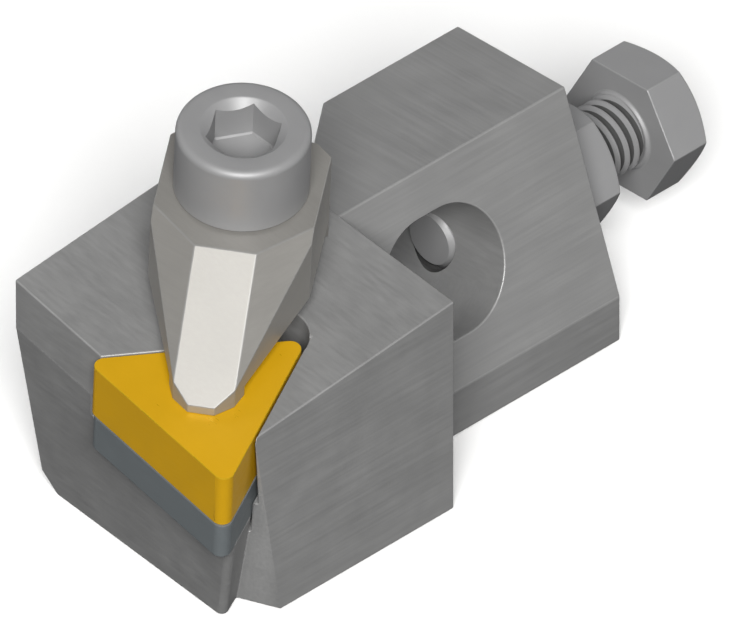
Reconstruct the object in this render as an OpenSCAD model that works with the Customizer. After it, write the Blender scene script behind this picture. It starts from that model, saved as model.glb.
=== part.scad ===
// Clamp-type turning cartridge: a steel body with a tilted triangular seat at its front corner.
// X runs across the body, +Y runs from the head to the tail, +Z is up and the base lies in Z = 0.
// The row origin is in the base face, on the shoulder between head and tail. Millimetres.

/* [Head] */
// Width of the body from its back face to the head's right face
head_width = 23.4; // [20:0.1:30]
// Tilt of the head's top face from the horizontal
top_tilt = 9.84; // [0:0.02:15]
// Direction in plan toward which the top face falls away
top_heading = -33.2; // [-60:0.1:0]
// Distance from the shoulder to the end face, along the head's right face
right_face_length = 20.5; // [17:0.1:24]
// Direction in plan that the end face beside the seat looks toward
end_heading = -68.5; // [-80:0.5:-50]
// Lean of the end face, inward on its way down
end_lean = 8.4; // [4:0.1:14]
// Setback of the front face from the insert's front edge, at the top
front_setback = 1.15; // [0.5:0.05:2]
// Height of the upright band at the top of the front face
front_band = 4.2; // [2:0.1:8]
// Relief angle of the front face under its band
front_relief = 10.3; // [6:0.1:15]
// Leg of the chamfer where the back face meets the base
base_chamfer = 1.5; // [0.5:0.1:3]

/* [Tail] */
// Length of the tail from the shoulder to its rear face
tail_length = 23.88; // [18:0.02:30]
// Height of the tail's flat top above the base
tail_height = 20; // [16:0.1:24]
// Width of the tail at its base
tail_width = 17; // [15:0.1:20]
// Height of the upright side under the tail's slope
side_height = 3.95; // [2:0.05:8]
// Lean of the slope face from the vertical
slope_angle = 20; // [10:0.5:30]

/* [Mounting slot] */
// Width of the slot for the mounting screw
slot_width = 10; // [8:0.1:11]
// Length of the slot along the tail
slot_length = 12; // [11:0.1:14]
// Distance of the slot's centre from the shoulder
slot_y = 8.4; // [7:0.1:10]
// Height of the slot's centre on the slope face
slot_z = 12.06; // [10:0.02:13]
// Depth of the upright notch in the back face
notch_depth = 3.3; // [2:0.1:4]
// Distance of the notch's deepest line from the shoulder
notch_y = 5.5; // [5:0.1:7]
// Run of the notch's rear flank along the back face
notch_rear_run = 4.3; // [3:0.1:6]
// Run of the notch's front flank along the back face
notch_front_run = 2.55; // [2:0.05:4]

/* [Insert] */
// Diameter of the circle that touches the insert's three sides
insert_ic = 9.525; // [8:0.005:11]
// Thickness of the insert
insert_thickness = 4.76; // [3:0.01:5.5]
// Radius of the insert's corners
corner_r = 0.8; // [0.4:0.1:1.6]
// Distance of the cutting corner from the back face
corner_reach = 25; // [24:0.05:26]
// Height of the cutting corner above the base
corner_height = 16; // [14:0.05:18]
// Distance of the cutting corner's front from the shoulder
corner_forward = 25.35; // [24:0.05:27]
// Direction of the cutting corner in the top face, from its line of steepest fall
corner_heading = -2.2; // [-10:0.1:10]

/* [Seat] */
// Thickness of the shim
shim_thickness = 3.18; // [2:0.01:4]
// How much smaller the shim's inscribed circle is than the insert's
shim_ic_gap = 0.1; // [0:0.01:0.4]
// Shift of the shim toward the cutting corner
shim_offset_x = 0.25; // [0:0.01:0.4]
// Gap between the insert and the side wall of the seat, at the top
side_gap = 0.1; // [0.05:0.01:0.2]
// Lean of the seat's side wall, outward on its way down
side_wall_lean = 4; // [2:0.1:8]
// Lean of the seat's back wall, outward on its way down
back_wall_lean = 6; // [2:0.1:8]
// Depth of the ledge between the insert's walls and the shim's walls
ledge_depth = 6.6; // [5.6:0.05:7.5]
// Distance of the shim's walls outside the lines of the insert's sides
shim_wall_gap = 0.15; // [0.1:0.01:0.3]
// Depth of the groove under the foot of the side wall, below the shim
groove_depth = 1.7; // [0.5:0.1:2.5]
// Width of the groove under the foot of the side wall
groove_width = 0.5; // [0.3:0.05:1]
// Diameter of the round relief at the seat's inner corner
corner_relief_d = 6; // [4:0.1:6.4]
// Distance of the relief's centre from the insert's inner corner, along its side
corner_relief_back = 0.65; // [0:0.05:2]
// How far the relief cuts past the line of the side wall
corner_relief_bite = 0.1; // [0.05:0.05:0.5]
// Radius along the nose under the cutting corner
nose_r = 0.5; // [0.3:0.05:1]
// Distance that the nose stands out from the insert's side line, at the seat floor
nose_stand = 0.08; // [0:0.01:0.14]

/* [Shim screw] */
// Thread diameter of the countersunk shim screw
shim_screw_d = 3.5; // [3:0.1:4]
// Diameter of its countersunk head
shim_screw_head_d = 5.6; // [5:0.1:6]
// Height of the head's straight rim
shim_screw_rim = 0.2; // [0.1:0.05:0.4]
// Overall length of the shim screw
shim_screw_length = 7.5; // [6:0.1:9]
// Distance of its head below the top of the shim
shim_screw_sink = 0.25; // [0.1:0.05:0.5]
// Width across flats of its hexagonal socket
shim_socket_af = 2; // [1.5:0.1:2.5]
// Depth of its socket
shim_socket_depth = 1.2; // [0.8:0.1:1.5]

/* [Clamp] */
// Distance of the clamp screw behind the insert's centre
clamp_back = 13.04; // [12:0.02:14]
// Distance of the clamp screw to the inner side of the insert's centre line
clamp_side = 4.43; // [3:0.01:6]
// Swing of the clamp's finger from the insert's centre line
clamp_swing = 19.1; // [15:0.1:23]
// Height of the clamp's top face above the head's top face
clamp_height = 8.1; // [7:0.05:9]
// Distance from the clamp screw to the fingertip
finger_reach = 15.83; // [15:0.01:16.5]
// Length of the narrowing at the fingertip
tip_length = 1.18; // [0.5:0.02:2]
// Half width of the fingertip's front face
tip_half_width = 1; // [0.6:0.05:1.5]
// Half width of the finger's sloping face
finger_half_width = 2.3; // [1.8:0.05:3]
// Half width of the clamp's block
clamp_half_width = 6; // [5.5:0.05:7]
// Distance from the clamp screw to the block's rear face
clamp_rear = 5.54; // [5:0.02:6.5]
// Leg of the block's upright rear chamfers
clamp_chamfer = 1.26; // [0.5:0.02:2]
// Distance from the clamp screw to where the sides start to narrow
shoulder_reach = 4.1; // [3.4:0.05:5]
// Distance from the clamp screw to the front edge of the top face
top_reach = 6.75; // [6:0.05:8]
// Distance from the clamp screw to where the top face's corners start
top_corner_reach = 3.14; // [2:0.02:3.3]
// Fall of the finger's sloping face, per unit of length
finger_fall = 0.81; // [0.7:0.01:0.9]
// Gap under the clamp's block, above the head
under_gap = 1.7; // [1.2:0.05:2.4]
// Gap under the finger at its tip, above the insert
finger_gap = 0.9; // [0.5:0.05:1.2]
// Length of the foot under the fingertip
foot_length = 2.6; // [1.5:0.05:4]
// Length of the heel under the block's rear edge
heel_length = 1.4; // [1:0.05:1.5]

/* [Clamp screw] */
// Thread diameter of the clamp screw
clamp_screw_d = 6; // [5:0.1:6.4]
// Length of the clamp screw under its head
clamp_screw_length = 20; // [16:0.5:22]
// Diameter of the screw's head
cap_d = 10; // [9:0.1:11]
// Height of the screw's head
cap_height = 6; // [5:0.1:7]
// Radius of the rounding round the head's top edge
cap_fillet = 0.6; // [0.2:0.05:1]
// Width across flats of the head's hexagonal socket
socket_af = 5; // [4:0.1:5.5]
// Lean of the socket's conical floor
socket_floor_lean = 15; // [5:1:30]
// Depth of the socket's flats
socket_depth = 3.3; // [2:0.1:3.6]
// Diameter of the chamfer round the socket's mouth
socket_mouth_d = 6.32; // [6:0.02:7]
// Turn of the socket about the screw's axis, seated
socket_turn = 55; // [0:0.5:59]
// Clearance between the screw and the clamp's hole, across the diameter
clamp_hole_clearance = 0.6; // [0.3:0.05:0.8]
// Depth of the clamp screw's tapped hole below the head's top face
clamp_hole_depth = 15; // [14:0.5:18]
// Clearance between thread crests and tapped holes, across the diameter
thread_clearance = 0.1; // [0.05:0.01:0.2]

/* [Clamp spring] */
// Diameter of the spring's wire
wire_d = 0.55; // [0.4:0.01:0.6]
// Outer diameter of the spring
spring_d = 7.6; // [7.4:0.05:7.7]
// Depth of the spring's bore below the head's top face
spring_depth = 5; // [4:0.1:6]
// Clearance between the spring and its bore, across the diameter
spring_clearance = 0.2; // [0.1:0.05:0.4]
// Open turns of the spring
spring_turns = 4; // [3:1:6]

/* [Adjusting bolt] */
// Thread diameter of the adjusting bolt
bolt_d = 6; // [5:0.1:6.4]
// Length of the bolt under its head
bolt_length = 20; // [17:0.1:21]
// Distance of the bolt's axis from the body's back face
bolt_from_back = 6.9; // [6.2:0.05:7.6]
// Height of the bolt's axis above the base
bolt_z = 9; // [8:0.05:10]
// Distance from the tail's rear face to the underside of the bolt's head
bolt_stand = 10.1; // [9:0.05:11.5]
// Width across flats of the bolt's hexagonal head
bolt_af = 10; // [9:0.1:11]
// Thickness of the bolt's head
bolt_head_height = 4; // [3.5:0.1:5]
// Width across flats of the lock nut
nut_af = 10; // [9:0.1:11]
// Thickness of the lock nut
nut_height = 5; // [4:0.1:5.5]
// Leg of the small cone between the bolt's shank and its head
bolt_neck = 0.25; // [0.1:0.05:0.5]
// Diameter of the flat on a turned hexagon, as a share of its width across flats
hex_land = 0.95; // [0.85:0.01:0.99]
// Leg of the chamfer at the bolt's end
bolt_end_chamfer = 0.95; // [0.4:0.05:1.2]
// Leg of the chamfer at the clamp screw's end and at the tapped holes' mouths
thread_chamfer = 0.45; // [0.2:0.05:0.7]

/* [Hidden] */
$fn = 64;
slack = 0.01;
overlap = 1;
arc_steps = 16;
back_x = -head_width / 2;
right_x = head_width / 2;
space = 60;
fall_x = sin(top_tilt) * cos(top_heading);
fall_y = sin(top_tilt) * sin(top_heading);
corner_x = back_x + corner_reach - corner_r * sqrt(1 - fall_x * fall_x);
corner_y = -corner_forward + corner_r * sqrt(1 - fall_y * fall_y);
corner_z = corner_height + corner_r * sin(top_tilt) * cos(corner_heading);
seat_depth = insert_thickness + shim_thickness;
// lean of a vertical plane along the front edge, seen square to the tilted top
band_lean = atan(-cos(corner_heading + 120) * tan(top_tilt));
seat_relief = front_relief - band_lean;
band_step = front_band * sin(band_lean);
relief_setback = front_setback - band_step - front_band * cos(band_lean) * tan(seat_relief);
// the nose runs along the line where the front and side relief planes meet
nose_lean = atan(2 * tan(seat_relief));
nose_front = insert_ic / 2 - relief_setback;
nose_side = insert_ic / 2 + nose_stand + seat_depth * tan(seat_relief);
nose_half = asin(cos(seat_relief) * cos(nose_lean) / 2 + sin(seat_relief) * sin(nose_lean));
shim_ic = insert_ic - shim_ic_gap;
slope_top_x = back_x + tail_width - (tail_height - side_height) * tan(slope_angle);
slot_x = back_x + tail_width - (slot_z - side_height) * tan(slope_angle);
bolt_x = back_x + bolt_from_back;
bolt_end_y = tail_length + bolt_stand - bolt_length;
side_turn = atan2(top_reach - top_corner_reach, clamp_half_width - finger_half_width);
side_run = norm([top_reach - top_corner_reach, clamp_half_width - finger_half_width]);
side_fall = atan(finger_fall * side_run / (clamp_half_width - finger_half_width));
spring_length = spring_depth + under_gap;
turn_steps = 20;
wire_sides = 8;
// keeps the closed end turns just clear of the next turn
wire_flatness = 0.98;
socket_tip = socket_af / 2 * tan(socket_floor_lean);
shim_head_height = shim_screw_rim + (shim_screw_head_d - shim_screw_d) / 2;

// Origin at the insert's centre in its top face, +X toward the cutting corner, +Z square to the face.
module insert_frame() {
    translate([corner_x, corner_y, corner_z])
        rotate([0, top_tilt, top_heading])
            rotate([0, 0, corner_heading])
                translate([2 * corner_r - insert_ic, 0, 0])
                    children();
}

// Origin where the clamp screw's axis meets the head's top plane, +X along the finger.
module clamp_frame() {
    insert_frame()
        translate([-clamp_back, clamp_side, 0])
            rotate([0, 0, -clamp_swing])
                children();
}

// Everything on one side of a plane: the side that +X looks toward.
module beyond() {
    translate([0, -space, -space])
        cube([space, 2 * space, 2 * space]);
}

// Points of an arc round the origin, from one direction to another.
function arc(r, from, to) = [
    for (i = [0 : arc_steps])
        let (angle = from + (to - from) * i / arc_steps)
            r * [cos(angle), sin(angle)]
];

// Equal-sided plate with rounded corners, one corner on +X, its top face in Z = 0.
module triangle_plate(ic, thickness, r) {
    translate([0, 0, -thickness])
        linear_extrude(thickness)
            polygon([
                for (corner = [0, 120, 240], point = arc(r, corner - 60, corner + 60))
                    (ic - 2 * r) * [cos(corner), sin(corner)] + point
            ]);
}

module hexagon(af, height) {
    cylinder(h = height, d = af / cos(30), $fn = 6);
}

// The body and the cuts in it

module tail() {
    translate([0, tail_length, 0])
        rotate([90, 0, 0])
            linear_extrude(tail_length + overlap)
                polygon([
                    [back_x, 0],
                    [back_x + tail_width, 0],
                    [back_x + tail_width, side_height],
                    [slope_top_x, tail_height],
                    [back_x, tail_height]
                ]);
}

module head() {
    difference() {
        translate([back_x, -space, 0])
            cube([head_width, space, space]);
        insert_frame()
            translate([-space, -space, 0])
                cube(2 * space);
        beyond_end_face();
    }
}

// Everything in front of the front face's band and of the relief under it.
module beyond_front() {
    insert_frame() {
        rotate([0, 0, 120])
            translate([front_setback - insert_ic / 2, 0, 0])
                rotate([0, band_lean, 0])
                    mirror([1, 0, 0])
                        beyond();
        rotate([0, 0, 120])
            translate([relief_setback - insert_ic / 2, 0, 0])
                rotate([0, -seat_relief, 0])
                    mirror([1, 0, 0])
                        beyond();
    }
}

// Everything past the upright-leaning end face beside the seat.
module beyond_end_face() {
    translate([right_x, -right_face_length, corner_height])
        rotate([0, 0, end_heading])
            rotate([0, end_lean, 0])
                beyond();
}

// Wedge under the cutting corner, up to the side relief plane; the front relief plane trims it.
module nose() {
    reach = nose_r / sin(nose_half);
    intersection() {
        insert_frame()
            translate([nose_front + nose_side, (nose_side - nose_front) / (2 * sin(60)), 0])
                rotate([0, nose_lean, 0])
                    translate([0, 0, -space])
                        linear_extrude(2 * space)
                            polygon([
                                for (point = arc(nose_r, nose_half - 90, 90 - nose_half))
                                    [-reach, 0] + point,
                                [-head_width / 2, head_width / 2 * tan(nose_half)],
                                [-head_width / 2, -head_width / 2]
                            ]);
        insert_frame()
            translate([-space, -space, -seat_depth - 2 * space])
                cube([2 * space, 2 * space, 2 * space]);
        translate([back_x, -space, 0])
            cube([2 * head_width, space, space]);
        beyond_end_face();
    }
}

// Space between the seat's back wall and its side wall, open toward the front.
module between_walls(back_out, back_lean, side_out, side_lean, depth) {
    intersection() {
        translate([-insert_ic / 2 - back_out, 0, 0])
            rotate([0, back_lean, 0])
                beyond();
        rotate([0, 0, 60])
            translate([insert_ic / 2 + side_out, 0, 0])
                rotate([0, -side_lean, 0])
                    mirror([1, 0, 0])
                        beyond();
        translate([-space, -space, -depth])
            cube([2 * space, 2 * space, space]);
    }
}

module seat() {
    insert_frame() {
        between_walls(0, back_wall_lean, side_gap, side_wall_lean, ledge_depth);
        between_walls(shim_wall_gap, 0, shim_wall_gap, 0, seat_depth);
        intersection() {
            between_walls(shim_wall_gap, 0, shim_wall_gap, 0, seat_depth + groove_depth);
            rotate([0, 0, 60])
                translate([insert_ic / 2 + shim_wall_gap - groove_width, 0, 0])
                    beyond();
        }
        rotate([0, 0, 60])
            translate([
                insert_ic / 2 + side_gap + corner_relief_bite - corner_relief_d / 2,
                insert_ic * sin(60) - corner_relief_back,
                -seat_depth - groove_depth
            ])
                cylinder(h = space, d = corner_relief_d);
    }
}

module body_holes() {
    insert_frame()
        translate([shim_offset_x, 0, -insert_thickness - shim_screw_sink - shim_screw_length - overlap])
            cylinder(h = shim_screw_length + overlap, d = shim_screw_d + thread_clearance);
    clamp_frame() {
        translate([0, 0, -clamp_hole_depth])
            cylinder(h = space, d = clamp_screw_d + thread_clearance);
        translate([0, 0, -spring_depth])
            cylinder(h = space, d = spring_d + spring_clearance);
    }
    translate([bolt_x, slot_y, bolt_z])
        rotate([-90, 0, 0])
            cylinder(h = space, d = bolt_d + thread_clearance);
    translate([bolt_x, tail_length - thread_chamfer, bolt_z])
        rotate([-90, 0, 0])
            cylinder(
                h = thread_chamfer + slack,
                d1 = bolt_d + thread_clearance,
                d2 = bolt_d + thread_clearance + 2 * (thread_chamfer + slack)
            );
}

module mounting_slot() {
    spread = (slot_length - slot_width) / 2;
    translate([slot_x, slot_y, slot_z])
        rotate([0, 90 - slope_angle, 0]) {
            for (end = [-90, 90])
                rotate([0, 0, end])
                    translate([-spread, 0, -space])
                        cylinder(h = 2 * space, d = slot_width);
            translate([-slot_width / 2, -spread, -space])
                cube([slot_width, 2 * spread, 2 * space]);
        }
}

module back_notch() {
    translate([0, 0, -slack])
        linear_extrude(space)
            polygon([
                [back_x - slack, notch_y + notch_rear_run],
                [back_x, notch_y + notch_rear_run],
                [back_x + notch_depth, notch_y],
                [back_x, notch_y - notch_front_run],
                [back_x - slack, notch_y - notch_front_run]
            ]);
}

module base_edge() {
    translate([0, tail_length + slack, 0])
        rotate([90, 0, 0])
            linear_extrude(2 * space)
                polygon([
                    [back_x - slack, -slack],
                    [back_x + base_chamfer + slack, -slack],
                    [back_x - slack, base_chamfer + slack]
                ]);
}

module body() {
    color([0.47, 0.47, 0.47])
        difference() {
            union() {
                difference() {
                    union() {
                        tail();
                        head();
                    }
                    seat();
                    mounting_slot();
                    back_notch();
                    base_edge();
                }
                nose();
            }
            beyond_front();
            body_holes();
        }
}

// What lies in the seat

module shim() {
    color([0.39, 0.42, 0.44])
        insert_frame()
            translate([shim_offset_x, 0, -insert_thickness])
                difference() {
                    triangle_plate(shim_ic, shim_thickness, corner_r);
                    translate([0, 0, -shim_thickness - slack])
                        cylinder(h = space, d = shim_screw_d + 2 * thread_clearance);
                    translate([0, 0, -shim_screw_sink - shim_head_height - thread_clearance])
                        cylinder(
                            h = (shim_screw_head_d - shim_screw_d) / 2,
                            d1 = shim_screw_d + 2 * thread_clearance,
                            d2 = shim_screw_head_d + 2 * thread_clearance
                        );
                    translate([0, 0, -shim_screw_sink - shim_screw_rim - thread_clearance])
                        cylinder(h = space, d = shim_screw_head_d + 2 * thread_clearance);
                }
}

module shim_screw() {
    color([0.3, 0.3, 0.32])
        insert_frame()
            translate([shim_offset_x, 0, -insert_thickness - shim_screw_sink])
                difference() {
                    union() {
                        translate([0, 0, -shim_screw_length])
                            cylinder(h = shim_screw_length - shim_screw_rim, d = shim_screw_d);
                        translate([0, 0, -shim_head_height])
                            cylinder(
                                h = (shim_screw_head_d - shim_screw_d) / 2,
                                d1 = shim_screw_d,
                                d2 = shim_screw_head_d
                            );
                        translate([0, 0, -shim_screw_rim])
                            cylinder(h = shim_screw_rim, d = shim_screw_head_d);
                    }
                    translate([0, 0, -shim_socket_depth])
                        hexagon(shim_socket_af, space);
                }
}

module insert() {
    color([0.82, 0.65, 0.1])
        insert_frame()
            triangle_plate(insert_ic, insert_thickness, corner_r);
}

// The clamp, its screw and its spring

module clamp_outline() {
    polygon([
        [-clamp_rear, -clamp_half_width + clamp_chamfer],
        [-clamp_rear + clamp_chamfer, -clamp_half_width],
        [shoulder_reach, -clamp_half_width],
        [finger_reach - tip_length, -finger_half_width],
        [finger_reach, -tip_half_width],
        [finger_reach, tip_half_width],
        [finger_reach - tip_length, finger_half_width],
        [shoulder_reach, clamp_half_width],
        [-clamp_rear + clamp_chamfer, clamp_half_width],
        [-clamp_rear, clamp_half_width - clamp_chamfer]
    ]);
}

// Side view of what stays under the block and under the finger, between heel and foot.
module clamp_under() {
    rotate([90, 0, 0])
        translate([0, 0, -space / 2])
            linear_extrude(space)
                polygon([
                    [-clamp_rear + heel_length, -overlap],
                    [-clamp_rear + heel_length, under_gap],
                    [shoulder_reach, under_gap],
                    [finger_reach - foot_length, finger_gap],
                    [finger_reach - foot_length, -overlap]
                ]);
}

module clamp() {
    color([0.55, 0.55, 0.54])
        clamp_frame()
            difference() {
                linear_extrude(clamp_height)
                    clamp_outline();
                clamp_under();
                translate([top_reach, 0, clamp_height])
                    rotate([0, atan(finger_fall), 0])
                        translate([-space, -space, 0])
                            cube(2 * space);
                for (flip = [0, 1])
                    mirror([0, flip, 0])
                        translate([top_corner_reach, clamp_half_width, clamp_height])
                            rotate([0, 0, side_turn])
                                rotate([0, side_fall, 0])
                                    translate([-space, -space, 0])
                                        cube(2 * space);
                cylinder(h = space, d = clamp_screw_d + clamp_hole_clearance);
            }
}

module clamp_screw() {
    color([0.5, 0.5, 0.5])
        clamp_frame()
            translate([0, 0, clamp_height])
                difference() {
                    union() {
                        cylinder(h = cap_height - cap_fillet, d = cap_d);
                        cylinder(h = cap_height, d = cap_d - 2 * cap_fillet);
                        translate([0, 0, cap_height - cap_fillet])
                            rotate_extrude()
                                translate([cap_d / 2 - cap_fillet, 0])
                                    intersection() {
                                        circle(r = cap_fillet);
                                        square(cap_fillet);
                                    }
                        translate([0, 0, thread_chamfer - clamp_screw_length])
                            cylinder(h = clamp_screw_length - thread_chamfer, d = clamp_screw_d);
                        translate([0, 0, -clamp_screw_length])
                            cylinder(
                                h = thread_chamfer,
                                d1 = clamp_screw_d - 2 * thread_chamfer,
                                d2 = clamp_screw_d
                            );
                    }
                    translate([0, 0, cap_height - socket_depth])
                        rotate([0, 0, socket_turn])
                            hexagon(socket_af, space);
                    translate([0, 0, cap_height - socket_depth - socket_tip])
                        cylinder(
                            h = socket_tip + slack,
                            d1 = 0,
                            d2 = socket_af
                        );
                    translate([0, 0, cap_height - (socket_mouth_d - socket_af) / 2])
                        cylinder(
                            h = (socket_mouth_d - socket_af) / 2 + slack,
                            d1 = socket_af,
                            d2 = socket_mouth_d + 2 * slack
                        );
                }
}

// Wire centre height along the spring: one closed turn, the open turns, one closed turn.
function spring_rise(turn) =
    turn < 1 ? wire_d / 2 * (1 + turn)
    : turn > spring_turns + 1
    ? spring_length - wire_d / 2 * (1 + spring_turns + 2 - turn)
    : wire_d + (turn - 1) / spring_turns * (spring_length - 2 * wire_d);

module clamp_spring() {
    count = turn_steps * (spring_turns + 2);
    wire_r = wire_d / 2;
    mid_r = (spring_d - wire_d) / 2;
    rings = [
        for (i = [0 : count], a = [0 : wire_sides - 1])
            let (turn = i / turn_steps, r = mid_r + wire_r * cos(360 * a / wire_sides))
                [
                    r * cos(360 * turn),
                    r * sin(360 * turn),
                    spring_rise(turn) + wire_flatness * wire_r * sin(360 * a / wire_sides)
                ]
    ];
    sides = [
        for (i = [0 : count - 1], a = [0 : wire_sides - 1])
            let (b = (a + 1) % wire_sides)
                each [
                    [i * wire_sides + a, (i + 1) * wire_sides + a, i * wire_sides + b],
                    [i * wire_sides + b, (i + 1) * wire_sides + a, (i + 1) * wire_sides + b]
                ]
    ];
    start = [for (a = [0 : wire_sides - 1]) a];
    end = [for (a = [wire_sides - 1 : -1 : 0]) count * wire_sides + a];
    color([0.4, 0.4, 0.42])
        clamp_frame()
            translate([0, 0, -spring_depth])
                polyhedron(points = rings, faces = concat(sides, [start, end]));
}

// The adjusting bolt and its nut

// Hexagon with its corners turned off: at its outer end, and at its inner end too if asked.
module turned_hexagon(af, height, both_ends) {
    corner = af / cos(30) / 2;
    land = af / 2 * hex_land;
    turned = (corner - land) * tan(30);
    intersection() {
        hexagon(af, height);
        union() {
            translate([0, 0, height - turned])
                cylinder(h = turned, r1 = corner, r2 = land);
            translate([0, 0, both_ends ? turned : 0])
                cylinder(h = height - turned - (both_ends ? turned : 0), r = corner);
            if (both_ends)
                cylinder(h = turned, r1 = land, r2 = corner);
        }
    }
}

module lock_nut() {
    color([0.45, 0.45, 0.45])
        translate([bolt_x, tail_length, bolt_z])
            rotate([-90, 0, 0])
                difference() {
                    turned_hexagon(nut_af, nut_height, true);
                    translate([0, 0, -slack])
                        cylinder(h = nut_height + 2 * slack, d = bolt_d + thread_clearance);
                    for (flip = [0, 1])
                        translate([0, 0, flip * nut_height])
                            mirror([0, 0, flip])
                                translate([0, 0, -slack])
                                    cylinder(
                                        h = thread_chamfer + slack,
                                        d1 = bolt_d + thread_clearance
                                            + 2 * (thread_chamfer + slack),
                                        d2 = bolt_d + thread_clearance
                                    );
                }
}

module adjusting_bolt() {
    color([0.5, 0.5, 0.5])
        translate([bolt_x, bolt_end_y, bolt_z])
            rotate([-90, 0, 0]) {
                cylinder(
                    h = bolt_end_chamfer,
                    d1 = bolt_d - 2 * bolt_end_chamfer,
                    d2 = bolt_d
                );
                translate([0, 0, bolt_end_chamfer])
                    cylinder(h = bolt_length - bolt_end_chamfer, d = bolt_d);
                translate([0, 0, bolt_length - bolt_neck])
                    cylinder(h = bolt_neck, d1 = bolt_d, d2 = bolt_d + 2 * bolt_neck);
                translate([0, 0, bolt_length])
                    turned_hexagon(bolt_af, bolt_head_height, false);
            }
}

body();
shim();
shim_screw();
insert();
clamp();
clamp_screw();
clamp_spring();
lock_nut();
adjusting_bolt();
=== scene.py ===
import math

import bmesh
import bpy
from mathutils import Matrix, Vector


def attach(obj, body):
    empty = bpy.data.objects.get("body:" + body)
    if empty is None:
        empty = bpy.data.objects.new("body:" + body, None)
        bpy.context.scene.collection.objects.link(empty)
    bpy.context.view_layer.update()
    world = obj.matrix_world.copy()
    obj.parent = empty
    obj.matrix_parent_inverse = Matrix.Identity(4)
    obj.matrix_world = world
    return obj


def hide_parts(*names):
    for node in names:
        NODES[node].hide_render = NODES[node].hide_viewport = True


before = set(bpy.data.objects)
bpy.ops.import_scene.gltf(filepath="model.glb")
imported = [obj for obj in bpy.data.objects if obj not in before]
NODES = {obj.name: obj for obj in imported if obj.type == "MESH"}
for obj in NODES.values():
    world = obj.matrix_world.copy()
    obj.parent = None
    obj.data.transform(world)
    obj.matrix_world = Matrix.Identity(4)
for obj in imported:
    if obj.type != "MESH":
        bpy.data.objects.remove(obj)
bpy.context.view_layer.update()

MM = 0.001

# Sizes of the real part, in millimetres and degrees, as in its source

CLAMP_ORIGIN = Vector((-1.7589, -8.9652, 19.6878))
CLAMP_AXIS = Vector((0.14300085, -0.09357713, 0.98528883))
FINGER = Vector((0.56923, -0.80661, -0.15922))
CLAMP_HEIGHT = 8.1
CAP_D, CAP_HEIGHT, CAP_FILLET = 10, 6, 0.6
CLAMP_SCREW_LENGTH, CLAMP_SCREW_PLAIN = 20, 1.2
SOCKET_AF, SOCKET_DEPTH, SOCKET_MOUTH_D, SOCKET_TURN = 5, 3.3, 6.32, 55
SPRING_D, WIRE_D, SPRING_TURNS, SPRING_BOTTOM, SPRING_LENGTH = 7.6, 0.55, 4, -5, 6.7

BOLT_X, BOLT_Z, BOLT_END_Y, BOLT_LENGTH = -4.8, 9, 13.98, 20
BOLT_AF, BOLT_HEAD, BOLT_LAND, BOLT_NECK, BOLT_END_CHAMFER = 10, 4, 0.95, 0.25, 0.95
THREAD_D, PITCH, THREAD_CHAMFER = 6, 1, 0.6

TAIL_END_Y, HOLE_D, HOLE_CHAMFER = 23.88, 6.1, 0.45
SLOT_X, SLOT_Y, SLOT_Z, SLOT_WIDTH, SLOT_LENGTH, SLOPE = 2.3482, 8.4, 12.06, 10, 12, 20

# The thread's profile in parts of the pitch: flat crest, flat root, flanks between them, and the points taken
CREST, ROOT, THREAD_DEPTH = 0.125, 0.25, 0.6134
FLANK = (1 - CREST - ROOT) / 2
PROFILE = [0, CREST, CREST + FLANK / 2, CREST + FLANK, CREST + FLANK + ROOT / 2, 1 - FLANK, 1 - FLANK / 2]
# Under this radius the thread of a screw is given a painted shade: a dark colour on its roots and lower
# flanks that stands for the shade in its grooves
THREAD_SHADE_R = 2.72

THREAD_STEPS, LATHE_STEPS, FILLET_STEPS, SPRING_STEPS, WIRE_STEPS = 72, 144, 8, 36, 14
THREAD_ANGLES = [2 * math.pi * i / THREAD_STEPS for i in range(THREAD_STEPS + 1)]

# Edges sharper than this are rounded: in the copies of body and clamp, and in the other pieces
COPY_EDGE_ANGLE, EDGE_ANGLE = 9.8, 24
# Before that, corners this close to each other are welded and facets this near to level are joined
WELD, FLAT_ANGLE = 0.002, 1.5
# Edges stay sharp where they meet at a smaller angle, or end a strip that is fewer roundings wide
SLIVER_ANGLE, STRIP_WIDTH = 15, 2.2


# Meshes

def new_piece(name, verts, faces, smooth_angle):
    """A mesh object from points in millimetres, with smooth faces and sharp edges above an angle."""
    mesh = bpy.data.meshes.new(name)
    mesh.from_pydata([tuple(Vector(v) * MM) for v in verts], [], faces)
    mesh.validate()
    mesh.shade_smooth()
    mesh.set_sharp_from_angle(angle=math.radians(smooth_angle))
    return linked(name, mesh)


def linked(name, data):
    """An object with this mesh, light or camera, in the scene."""
    obj = bpy.data.objects.new(name, data)
    bpy.context.scene.collection.objects.link(obj)
    return obj


def finish_with(obj, *finishes):
    """The first finish is the piece's own, the second one the painted highlight of its edges or the painted
    shade of its thread's roots.
    """
    for mat in finishes:
        obj.data.materials.append(mat)


def merged(verts, faces):
    """Points that lie on each other become one, and faces lose repeated corners."""
    seen, index, points = {}, [], []
    for v in verts:
        key = tuple(round(c, 5) for c in v)
        if key not in seen:
            seen[key] = len(points)
            points.append(v)
        index.append(seen[key])
    kept = []
    for face in ([index[i] for i in face] for face in faces):
        corners = [v for i, v in enumerate(face) if v != face[i - 1]]
        if len(set(corners)) == len(corners) > 2:
            kept.append(corners)
    return points, kept


def polar(r, angle, z):
    return r * math.cos(angle), r * math.sin(angle), z


def lathe(rings):
    """Joins rings round the Z axis. A ring is a function of the angle that gives a radius and a height."""
    verts, faces = [], []
    for ring in rings:
        for i in range(LATHE_STEPS):
            angle = 2 * math.pi * i / LATHE_STEPS
            r, z = ring(angle)
            verts.append(polar(r, angle, z))
    for k in range(len(rings) - 1):
        for i in range(LATHE_STEPS):
            a, b = k * LATHE_STEPS + i, k * LATHE_STEPS + (i + 1) % LATHE_STEPS
            faces.append([a, b, b + LATHE_STEPS, a + LATHE_STEPS])
    return merged(verts, faces)


def circle(r, z):
    return lambda angle: (r, z)


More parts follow.
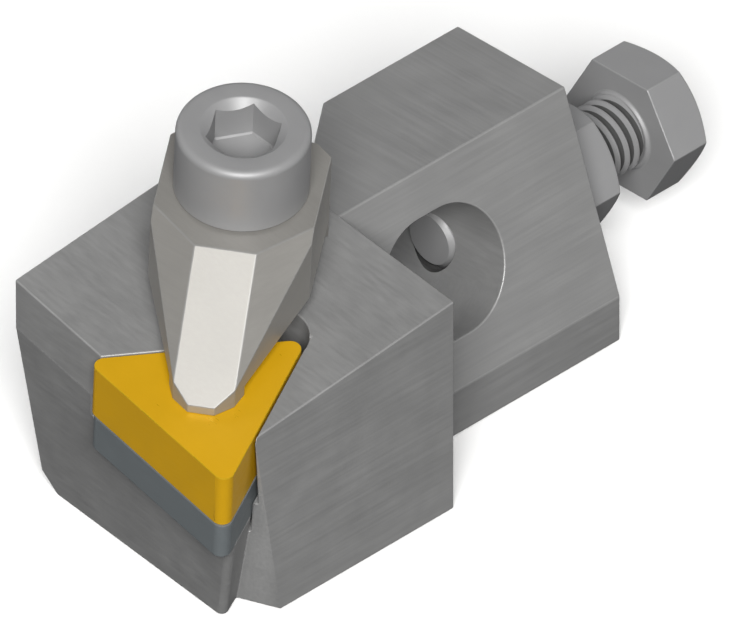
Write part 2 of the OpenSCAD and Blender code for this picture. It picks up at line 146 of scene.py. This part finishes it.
def hexagon_r(af, angle, turn=0.0):
    """Radius of a hexagon across its flats at an angle; a corner lies at the turn angle."""
    part = (angle - turn) % (math.pi / 3) - math.pi / 6
    return af / 2 / math.cos(part)


def placed(verts, origin, x_axis, z_axis):
    """Points from a local frame, given by its origin, X and Z, in the row frame."""
    z = Vector(z_axis).normalized()
    x = (Vector(x_axis) - Vector(x_axis).dot(z) * z).normalized()
    y = z.cross(x)
    o = Vector(origin)
    return [o + x * v[0] + y * v[1] + z * v[2] for v in verts]


# Threads, each one helical surface

def thread_r(z, angle):
    """Radius of the thread at a height and an angle."""
    phase = (z / PITCH - angle / (2 * math.pi)) % 1
    depth = THREAD_DEPTH * PITCH
    if phase < CREST:
        return THREAD_D / 2
    if phase < CREST + FLANK:
        return THREAD_D / 2 - depth * (phase - CREST) / FLANK
    if phase < CREST + FLANK + ROOT:
        return THREAD_D / 2 - depth
    return THREAD_D / 2 - depth * (1 - phase) / FLANK


def thread_rows(first, last):
    """Heights of the profile's points where the angle is zero, from one turn to before another."""
    return [(turn + mark) * PITCH for turn in range(first, last) for mark in PROFILE]


def thread_faces(verts, inside=False):
    """Faces between rows of points, one point for each angle of the thread."""
    width = len(THREAD_ANGLES)
    faces = []
    for k in range(len(verts) // width - 1):
        for i in range(THREAD_STEPS):
            a, b = k * width + i, k * width + i + 1
            faces.append([a, a + width, b + width, b] if inside else [a, b, b + width, a + width])
    return faces


def thread_piece(name, length, origin, x_axis, z_axis, chamfer, plain_from=math.inf):
    """A threaded shank from Z = 0, with a chamfered end. Its thread can run out to a plain part."""
    def radius(z, angle):
        r = thread_r(z, angle)
        if z > plain_from - PITCH:
            run_out = min(1, (z - plain_from + PITCH) / PITCH)
            r = r + (THREAD_D / 2 - r) * run_out
        return min(r, THREAD_D / 2 - chamfer + z)

    verts = []
    for row in thread_rows(-1, int(length / PITCH) + 2):
        for angle in THREAD_ANGLES:
            z = min(max(row + PITCH * angle / (2 * math.pi), 0), length)
            verts.append(polar(radius(z, angle), angle, z))
    points, faces = merged(verts, thread_faces(verts))
    low, high = len(points), len(points) + 1
    points += [(0, 0, 0), (0, 0, length)]
    edges = dict.fromkeys((face[i - 1], v) for face in faces for i, v in enumerate(face))
    for a, b in [edge for edge in edges if edge[::-1] not in edges]:
        faces.append([b, a, low if points[a][2] < length / 2 else high])
    return new_piece(name, placed(points, origin, x_axis, z_axis), faces, smooth_angle=28)


def tapped_hole():
    """The thread in the tail for the adjusting bolt, from the slot's round wall to the hole's rear mouth."""
    fit, minor, outer, lead_in, first_turn = 0.045, 2.46, HOLE_D / 2 + 0.01, 0.4, -3
    high = TAIL_END_Y - HOLE_CHAMFER - BOLT_END_Y
    slope = math.radians(SLOPE)
    spread = (SLOT_LENGTH - SLOT_WIDTH) / 2

    def wall(r, angle):
        """Height of the slot's wall along the bolt, where the bolt's end is zero."""
        x, z = BOLT_X + r * math.cos(angle), BOLT_Z - r * math.sin(angle)
        across = (z - SLOT_Z) * math.cos(slope) - (x - SLOT_X) * math.sin(slope)
        return SLOT_Y + spread + math.sqrt((SLOT_WIDTH / 2) ** 2 - across ** 2) - BOLT_END_Y

    def inner(z, angle):
        """Radius of the thread, which grows from the inner one as it leaves the slot's wall."""
        full = max(thread_r(z, angle) + fit, minor)
        start = min(1, max(0, (z - wall(minor, angle)) / lead_in))
        return minor + (full - minor) * start

    def rim(height):
        return [polar(outer, angle, height(outer, angle)) for angle in THREAD_ANGLES]

    mouth = rim(lambda r, angle: high)
    verts = mouth + rim(wall)
    for row in thread_rows(first_turn, math.ceil(high) + 1):
        for angle in THREAD_ANGLES:
            z = row + PITCH * angle / (2 * math.pi)
            # The wall's height depends on the radius, and the radius on the height: three passes settle it
            at_wall = wall(minor, angle)
            for _ in range(3):
                at_wall = wall(inner(max(z, at_wall), angle), angle)
            z = min(max(z, at_wall), high)
            verts.append(polar(inner(z, angle), angle, z))
    verts += mouth
    return merged(verts, thread_faces(verts, inside=True))


def paint_thread_shade(piece, origin, axis, radius, start):
    """The faces that lie within a radius of an axis, past its start, take the piece's second material: the
    painted shade of a thread's grooves.
    """
    origin, axis = Vector(origin) * MM, Vector(axis).normalized()
    for polygon in piece.data.polygons:
        corners = [piece.data.vertices[i].co - origin for i in polygon.vertices]
        along = [c.dot(axis) for c in corners]
        off = [(c - axis * a).length for c, a in zip(corners, along)]
        if max(off) < radius * MM and min(along) > start * MM:
            polygon.material_index = 1


# Materials

CLOUD_SCALE, FINE_SCALE, MARKS_SCALE, MARKS_STRETCH = 260, 5200, 3600, 0.03
CLOUD_RANGE, MARKS_RANGE = (0.3, 0.7), (0.35, 0.65)
DARKEST, LIGHTEST = 0.6, 1.4
RELIEF, BUMP_STRENGTH, BUMP_DISTANCE = 8, 0.35, 0.00002


def material(name, colour, metallic, roughness, grain, streak=0.0, mottle=0.06, side_from=0.2,
             rough_spread=0.08):
    """A metal finish: fine directional grinding marks, faint mottling and uneven gloss."""
    mat = bpy.data.materials.new(name)
    mat.use_nodes = True
    nodes, links = mat.node_tree.nodes, mat.node_tree.links
    shader = nodes["Principled BSDF"]
    shader.inputs["Metallic"].default_value = metallic
    place = nodes.new("ShaderNodeTexCoord")

    def noise(scale, stretch, detail):
        mapping = nodes.new("ShaderNodeMapping")
        mapping.inputs["Scale"].default_value = stretch
        links.new(place.outputs["Object"], mapping.inputs["Vector"])
        tex = nodes.new("ShaderNodeTexNoise")
        tex.inputs["Scale"].default_value = scale
        tex.inputs["Detail"].default_value = detail
        tex.inputs["Roughness"].default_value = 0.6
        links.new(mapping.outputs["Vector"], tex.inputs["Vector"])
        return tex.outputs["Fac"]

    def spread(value, span, middle, reach):
        """Maps a span of a value onto a middle, give or take a reach."""
        ramp = nodes.new("ShaderNodeMapRange")
        ramp.inputs["From Min"].default_value, ramp.inputs["From Max"].default_value = span
        ramp.inputs["To Min"].default_value = middle - reach
        ramp.inputs["To Max"].default_value = middle + reach
        links.new(value, ramp.inputs["Value"])
        return ramp.outputs["Result"]

    def maths(kind, a, b):
        node = nodes.new("ShaderNodeMath")
        node.operation = kind
        for socket, value in zip(node.inputs, (a, b)):
            if isinstance(value, (int, float)):
                socket.default_value = value
            else:
                links.new(value, socket)
        return node.outputs["Value"]

    cloud = noise(CLOUD_SCALE, (1, 1, 1), 5)
    fine = noise(FINE_SCALE, (1, 1, 1), 3)
    marks_y = noise(MARKS_SCALE, (1, MARKS_STRETCH, 1), 4)
    marks_x = noise(MARKS_SCALE, (MARKS_STRETCH, 1, 1), 4)
    # The marks run along Y where the normal's part along X is over a limit, and along X elsewhere
    normal = nodes.new("ShaderNodeNewGeometry")
    parts = nodes.new("ShaderNodeSeparateXYZ")
    links.new(normal.outputs["Normal"], parts.inputs["Vector"])
    side = maths("GREATER_THAN", maths("ABSOLUTE", parts.outputs["X"], 0), side_from)
    pick = nodes.new("ShaderNodeMix")
    links.new(side, pick.inputs["Factor"])
    links.new(marks_x, pick.inputs["A"])
    links.new(marks_y, pick.inputs["B"])
    marks = pick.outputs["Result"]

    shade = maths("ADD", spread(cloud, CLOUD_RANGE, 0, mottle), spread(marks, MARKS_RANGE, 0, streak))
    tint = nodes.new("ShaderNodeMix")
    tint.data_type = "RGBA"
    tint.inputs["A"].default_value = (*[c * DARKEST for c in colour], 1)
    tint.inputs["B"].default_value = (*[min(1, c * LIGHTEST) for c in colour], 1)
    links.new(maths("ADD", shade, 0.5), tint.inputs["Factor"])
    links.new(tint.outputs["Result"], shader.inputs["Base Color"])

    gloss = maths("ADD", spread(cloud, CLOUD_RANGE, roughness, rough_spread),
                  spread(marks, MARKS_RANGE, 0, rough_spread / 2))
    links.new(gloss, shader.inputs["Roughness"])

    height = maths("ADD", maths("MULTIPLY", marks, streak * RELIEF), maths("MULTIPLY", fine, grain * RELIEF))
    bump = nodes.new("ShaderNodeBump")
    bump.inputs["Strength"].default_value = BUMP_STRENGTH
    bump.inputs["Distance"].default_value = BUMP_DISTANCE
    links.new(height, bump.inputs["Height"])
    links.new(bump.outputs["Normal"], shader.inputs["Normal"])
    return mat


STEEL = material("body_ground_steel", (0.325, 0.325, 0.325), 0.55, 0.60, grain=0.03, streak=0.06, mottle=0.03)
# The second finish of each piece is a lighter, glossier copy of its own, painted on its rounded edges as a
# highlight
STEEL_HIGHLIGHT = material("body_edge_highlight", (0.36, 0.36, 0.36), 0.5, 0.46, grain=0.02, streak=0.03)
CLAMP = material("clamp_satin_steel", (0.295, 0.286, 0.27), 0.45, 0.44, grain=0.015, streak=0.03, mottle=0.02,
                 side_from=0.55, rough_spread=0.03)
CLAMP_HIGHLIGHT = material("clamp_edge_highlight", (0.31, 0.305, 0.295), 0.45, 0.40, grain=0.01, streak=0.02)
SCREW = material("screw_steel", (0.31, 0.31, 0.315), 0.40, 0.50, grain=0.01, streak=0.01, mottle=0.03,
                 rough_spread=0.04)
SCREW_HIGHLIGHT = material("screw_edge_highlight", (0.36, 0.36, 0.365), 0.5, 0.40, grain=0.01, streak=0.01)
GOLD = material("insert_gold_coating", (0.69, 0.385, 0.009), 0.35, 0.38, grain=0.03, mottle=0.03)
GOLD_HIGHLIGHT = material("insert_edge_highlight", (0.78, 0.47, 0.02), 0.55, 0.30, grain=0.03, mottle=0.02)
SHIM = material("shim_ground_carbide", (0.165, 0.184, 0.194), 0.35, 0.42, grain=0.03, streak=0.04,
                mottle=0.03)
SHIM_HIGHLIGHT = material("shim_edge_highlight", (0.19, 0.205, 0.215), 0.5, 0.34, grain=0.02, streak=0.02)
# A dark copy of the steel, painted on threads: mostly the shade in their grooves and in the tapped hole,
# partly the darker finish real threads have
THREAD_SHADE = material("thread_painted_shade", (0.10, 0.10, 0.10), 0.5, 0.45, grain=0.02, streak=0.02, mottle=0.05)
SPRING = material("spring_wire", (0.36, 0.36, 0.38), 0.85, 0.3, grain=0.02, streak=0.02)


# CAD pieces with their sharp edges broken by a small rounding

def weighted_normals(obj):
    weighted = obj.modifiers.new("Normals", "WEIGHTED_NORMAL")
    weighted.keep_sharp = True
    weighted.weight = 60


def sliver(edge, sharp):
    """True if a sharp edge meets another one of the same face at too small an angle to be rounded."""
    for loop in edge.link_loops:
        after = loop.link_loop_next
        for other, v in ((loop.link_loop_prev.edge, loop.vert), (after.edge, after.vert)):
            if other in sharp:
                a = edge.other_vert(v).co - v.co
                b = other.other_vert(v).co - v.co
                if a.angle(b) < math.radians(SLIVER_ANGLE):
                    return True
    return False


def narrow(edge, sharp, width):
    """True if a sharp edge is the shorter side of a strip too narrow for two roundings."""
    for loop in edge.link_loops:
        for cap, far in ((loop.link_loop_prev, loop.link_loop_prev.link_loop_prev),
                         (loop.link_loop_next, loop.link_loop_next.link_loop_next)):
            if cap.edge in sharp and far.edge in sharp and cap.edge.calc_length() < STRIP_WIDTH * width:
                a = cap.edge.verts[1].co - cap.edge.verts[0].co
                sides = [e.verts[1].co - e.verts[0].co for e in (edge, far.edge)]
                if all(abs(a.normalized().dot(s.normalized())) < 0.5 for s in sides):
                    if edge.calc_length() < far.edge.calc_length():
                        return True
    return False


def finished(node, name, body, mat, edge_highlight, width, crisp=None):
    """A copy of a CAD piece with its sharp edges rounded, save those that crisp() keeps."""
    source = NODES[node].data
    bm = bmesh.new()
    verts = [bm.verts.new(v.co) for v in source.vertices]
    for polygon in source.polygons:
        bm.faces.new([verts[i] for i in polygon.vertices])
    bmesh.ops.remove_doubles(bm, verts=bm.verts, dist=WELD * MM)
    bmesh.ops.dissolve_limit(bm, angle_limit=math.radians(FLAT_ANGLE), verts=bm.verts, edges=bm.edges)
    sharp = {e for e in bm.edges if e.calc_face_angle() > math.radians(COPY_EDGE_ANGLE)}
    left = {e for e in sharp if sliver(e, sharp) or narrow(e, sharp, width * MM)
            or crisp and all(crisp(v.co / MM) for v in e.verts)}
    for e in bm.edges:
        e.smooth = e not in left
    for face in bm.faces:
        face.smooth = True
    rounded = [e for e in bm.edges if e in sharp and e not in left]
    # The roundings take the second material, the painted highlight
    bmesh.ops.bevel(bm, geom=rounded, offset=width * MM, segments=2, profile=0.5, affect="EDGES",
                    clamp_overlap=False, material=1, miter_outer="ARC", spread=width * MM * 0.5)
    mesh = bpy.data.meshes.new(name)
    bm.to_mesh(mesh)
    bm.free()
    piece = linked(name, mesh)
    finish_with(piece, mat, edge_highlight)
    weighted_normals(piece)
    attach(piece, body)
    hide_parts(node)
    return piece


def soften(obj, mat, edge_highlight, width):
    """Gives a piece its finish, and a rounding of its sharp edges as a modifier."""
    finish_with(obj, mat, edge_highlight)
    bevel = obj.modifiers.new("Edges", "BEVEL")
    bevel.width = width * MM
    bevel.segments = 2
    bevel.limit_method = "ANGLE"
    bevel.angle_limit = math.radians(EDGE_ANGLE)
    bevel.use_clamp_overlap = False
    # The roundings take the second material, the painted highlight
    bevel.material = 1
    return bevel


def dress(obj, mat, edge_highlight, width):
    """Softens a CAD piece that stays in place, with its facets joined first."""
    obj.data.materials.clear()
    weld = obj.modifiers.new("Weld", "WELD")
    weld.merge_threshold = WELD * MM
    flat = obj.modifiers.new("Planar", "DECIMATE")
    flat.decimate_type = "DISSOLVE"
    flat.angle_limit = math.radians(FLAT_ANGLE)
    soften(obj, mat, edge_highlight, width).miter_outer = "MITER_ARC"
    weighted_normals(obj)


def in_bolt_hole(p):
    """True at the bolt hole's mouth on the slot's wall, which the thread's start covers."""
    rear, margin = 2, 0.1
    return p.y < TAIL_END_Y - rear and math.hypot(p.x - BOLT_X, p.z - BOLT_Z) < HOLE_D / 2 + margin


body = finished("body", "body_finished", "holder", STEEL, STEEL_HIGHLIGHT, 0.12, crisp=in_bolt_hole)
finished("clamp", "clamp_finished", "clamp", CLAMP, CLAMP_HIGHLIGHT, 0.09)
dress(NODES["insert"], GOLD, GOLD_HIGHLIGHT, 0.06)
dress(NODES["shim"], SHIM, SHIM_HIGHLIGHT, 0.08)
NODES["shim_screw"].data.materials.clear()
finish_with(NODES["shim_screw"], SCREW)


# Clamp screw: cap head with its socket, and its thread

def cap_rings():
    """Rings from the head's underside over its rim and down its socket."""
    turn = math.radians(SOCKET_TURN)
    top, r, mouth, fillet = CAP_HEIGHT, CAP_D / 2, SOCKET_MOUTH_D / 2, CAP_FILLET
    under, foot, hold = 0.7, 0.25, 0.6
    rings = [circle(THREAD_D / 2 - under, 0), circle(r - foot, 0), circle(r, foot), circle(r, hold),
             circle(r, top - fillet)]
    for k in range(1, FILLET_STEPS + 1):
        a = math.pi / 2 * k / FILLET_STEPS
        rings.append(circle(r - fillet + fillet * math.cos(a), top - fillet + fillet * math.sin(a)))
    # The rim of the socket's mouth, as radius past the mouth's and depth under the top
    rings += [circle(mouth + out, top - down) for out, down in ((0.12, 0), (0.04, 0.02), (-0.03, 0.08))]

    def cone(angle):
        """The socket's mouth, down to where it meets the hexagon's walls."""
        wall = hexagon_r(SOCKET_AF, angle, turn)
        return wall, top - (mouth - wall)

    def wall_at(depth, inset=0.0):
        return lambda angle: (hexagon_r(SOCKET_AF, angle, turn) - inset, top - depth)

    # The walls end in a small step, and the floor is a flat cone as a drill leaves it, blunt near its tip
    step, step_inset, cone_inset, blunt_r, blunt_part = 0.15, 0.12, 0.2, 0.4, 0.86
    floor_z, tip = top - SOCKET_DEPTH, SOCKET_AF / 2 * math.tan(math.radians(15))
    return rings + [cone, wall_at(SOCKET_DEPTH - step), wall_at(SOCKET_DEPTH, step_inset),
                    circle(SOCKET_AF / 2 - cone_inset, floor_z), circle(blunt_r, floor_z - tip * blunt_part),
                    circle(0, floor_z - tip)]


cap_origin = CLAMP_ORIGIN + CLAMP_AXIS * CLAMP_HEIGHT
points, faces = lathe(cap_rings())
cap = new_piece("clamp_screw_head", placed(points, cap_origin, FINGER, CLAMP_AXIS), faces, smooth_angle=30)
finish_with(cap, SCREW)
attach(cap, "clamp_screw")
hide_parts("clamp_screw")

screw_end = cap_origin - CLAMP_AXIS * CLAMP_SCREW_LENGTH
shank = thread_piece("clamp_screw_thread", CLAMP_SCREW_LENGTH, screw_end, FINGER, CLAMP_AXIS, THREAD_CHAMFER,
                     plain_from=CLAMP_SCREW_LENGTH - CLAMP_SCREW_PLAIN)
finish_with(shank, SCREW, THREAD_SHADE)
paint_thread_shade(shank, screw_end, CLAMP_AXIS, THREAD_SHADE_R, THREAD_CHAMFER)
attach(shank, "clamp_screw")


# Clamp spring: round wire, one closed turn at each end

def spring_piece():
    count = SPRING_STEPS * (SPRING_TURNS + 2)
    wire, mid = WIRE_D / 2, (SPRING_D - WIRE_D) / 2
    # The wire is a little flatter than round
    half_height = 0.98 * wire

    def rise(turn):
        if turn < 1:
            return wire * (1 + turn)
        if turn > SPRING_TURNS + 1:
            return SPRING_LENGTH - wire * (1 + SPRING_TURNS + 2 - turn)
        return WIRE_D + (turn - 1) / SPRING_TURNS * (SPRING_LENGTH - 2 * WIRE_D)

    verts, faces = [], []
    for i in range(count + 1):
        turn = i / SPRING_STEPS
        for a in range(WIRE_STEPS):
            b = 2 * math.pi * a / WIRE_STEPS
            z = rise(turn) + half_height * math.sin(b)
            verts.append(polar(mid + wire * math.cos(b), 2 * math.pi * turn, z))
    for i in range(count):
        low, high = i * WIRE_STEPS, (i + 1) * WIRE_STEPS
        for a in range(WIRE_STEPS):
            b = (a + 1) % WIRE_STEPS
            faces.append([low + a, high + a, high + b, low + b])
    faces.append(list(range(WIRE_STEPS)))
    faces.append([count * WIRE_STEPS + a for a in reversed(range(WIRE_STEPS))])
    return verts, faces


points, faces = spring_piece()
points = placed(points, CLAMP_ORIGIN + CLAMP_AXIS * SPRING_BOTTOM, FINGER, CLAMP_AXIS)
spring = new_piece("clamp_spring_wire", points, faces, smooth_angle=40)
finish_with(spring, SPRING)
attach(spring, "clamp")
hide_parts("clamp_spring")


# Adjusting bolt, the thread that it runs in, and lock nut

def head_rings():
    """Rings of the bolt's head from its neck to its outer end, where the hexagon's corners are turned off."""
    under, dip = 0.75, 0.02
    land = BOLT_AF / 2 * BOLT_LAND

    def base(angle):
        return hexagon_r(BOLT_AF, angle), 0

    def turned(angle):
        r = hexagon_r(BOLT_AF, angle)
        return r, BOLT_HEAD - max(0, r - land) * math.tan(math.radians(30))

    return [circle(THREAD_D / 2 - under, -dip), circle(THREAD_D / 2, -BOLT_NECK),
            circle(THREAD_D / 2 + BOLT_NECK, 0), base, turned, circle(land, BOLT_HEAD), circle(0, BOLT_HEAD)]


ACROSS, ALONG = Vector((1, 0, 0)), Vector((0, 1, 0))
bolt_end = Vector((BOLT_X, BOLT_END_Y, BOLT_Z))
head_base = Vector((BOLT_X, BOLT_END_Y + BOLT_LENGTH, BOLT_Z))

points, faces = lathe(head_rings())
head = new_piece("adjusting_bolt_head", placed(points, head_base, ACROSS, ALONG), faces, smooth_angle=25)
soften(head, SCREW, SCREW_HIGHLIGHT, 0.07)
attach(head, "adjusting_bolt")
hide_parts("adjusting_bolt")

bolt = thread_piece("adjusting_bolt_thread", BOLT_LENGTH, bolt_end, ACROSS, ALONG, BOLT_END_CHAMFER)
finish_with(bolt, SCREW, THREAD_SHADE)
paint_thread_shade(bolt, bolt_end, ALONG, THREAD_SHADE_R, BOLT_END_CHAMFER)
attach(bolt, "adjusting_bolt")

points, faces = tapped_hole()
hole = new_piece("adjusting_bolt_hole", placed(points, bolt_end, ACROSS, ALONG), faces, smooth_angle=28)
finish_with(hole, STEEL, THREAD_SHADE)
# The whole thread inside the hole is painted dark as the shade in a recess; only the ring that bridges it to
# the bore isn't
paint_thread_shade(hole, bolt_end, ALONG, HOLE_D / 2, -BOLT_LENGTH)
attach(hole, "holder")

dress(NODES["lock_nut"], SCREW, SCREW_HIGHLIGHT, 0.07)


# Floor, light and camera, in metres

def pale_floor():
    """A floor just under the part, which takes its shadow and throws no light back on it."""
    size, drop = 6, 0.00005
    mesh = bpy.data.meshes.new("floor")
    mesh.from_pydata([(x, y, 0) for x, y in ((-size, -size), (size, -size), (size, size), (-size, size))], [],
                     [(0, 1, 2, 3)])
    obj = linked("floor", mesh)
    mat = bpy.data.materials.new("floor_pale")
    mat.use_nodes = True
    shader = mat.node_tree.nodes["Principled BSDF"]
    shader.inputs["Base Color"].default_value = (0.93, 0.93, 0.93, 1)
    shader.inputs["Roughness"].default_value = 0.9
    shader.inputs["Specular IOR Level"].default_value = 0.1
    finish_with(obj, mat)
    obj.location.z = -drop
    obj.visible_diffuse = False
    obj.visible_glossy = False


def aim(obj, target, toward, distance):
    """Puts a light or a camera at a distance from its target and turns it to look there."""
    obj.location = target + toward * distance
    obj.rotation_euler = (-toward).to_track_quat("-Z", "Y").to_euler()


def area_light(name, azimuth, elevation, distance, size, power, colour=(1, 1, 1), gloss=True, diffuse=True):
    """A round light that looks at the part from a side, and lights it with gloss, diffusely or both."""
    light = bpy.data.lights.new(name, "AREA")
    light.shape = "DISK"
    light.size = size
    light.energy = power
    light.color = colour
    obj = linked(name, light)
    a, e = math.radians(azimuth), math.radians(elevation)
    toward = Vector((math.sin(a) * math.cos(e), -math.cos(a) * math.cos(e), math.sin(e)))
    aim(obj, Vector((0.003, 0, 0.014)), toward, distance)
    obj.visible_glossy = gloss
    obj.visible_diffuse = diffuse


def studio_world():
    """Faint light from all round, and white behind the part where the camera looks past it."""
    world = bpy.data.worlds.new("studio")
    world.use_nodes = True
    nodes, links = world.node_tree.nodes, world.node_tree.links
    ambient = nodes["Background"]
    ambient.inputs["Color"].default_value = (0.96, 0.97, 1, 1)
    ambient.inputs["Strength"].default_value = 0.085
    backdrop = nodes.new("ShaderNodeBackground")
    backdrop.inputs["Color"].default_value = (1, 1, 1, 1)
    ray = nodes.new("ShaderNodeLightPath")
    mixed = nodes.new("ShaderNodeMixShader")
    links.new(ray.outputs["Is Camera Ray"], mixed.inputs[0])
    links.new(ambient.outputs[0], mixed.inputs[1])
    links.new(backdrop.outputs[0], mixed.inputs[2])
    links.new(mixed.outputs[0], nodes["World Output"].inputs["Surface"])
    return world


pale_floor()
# The main light is two at one place, so that its gloss can be weaker than its diffuse light
KEY = {"azimuth": 45, "elevation": 35.3, "distance": 1.6, "size": 0.8, "colour": (1.0, 0.995, 0.98)}
area_light("key", power=45, gloss=False, **KEY)
area_light("key_gloss", power=28, diffuse=False, **KEY)
area_light("rear_right", azimuth=122, elevation=4, distance=0.9, size=0.4, power=0.35)
for name, azimuth, elevation, power in (("fill_left", -60, 25, 1.5), ("fill_back", 262, 16, 7),
                                        ("fill_tail", 178, 16, 6)):
    area_light(name, azimuth, elevation, distance=1.2, size=0.8, power=power, gloss=False)
bpy.context.scene.world = studio_world()
bpy.context.scene.view_settings.view_transform = "Standard"

# A long lens from the drawing's isometric direction, with the view's width at the part
VIEW = Vector((1, -1, 1)).normalized()
CAMERA_DISTANCE, VIEW_WIDTH, SENSOR_WIDTH = 2.235, 0.05445, 36
lens = bpy.data.cameras.new("camera")
lens.sensor_width = SENSOR_WIDTH
lens.lens = SENSOR_WIDTH * CAMERA_DISTANCE / VIEW_WIDTH
lens.clip_start = 0.1
lens.clip_end = 20
camera = linked("camera", lens)
aim(camera, Vector((0.00454, -0.001454, 0.014)), VIEW, CAMERA_DISTANCE)
bpy.context.scene.camera = camera

bpy.context.view_layer.update()
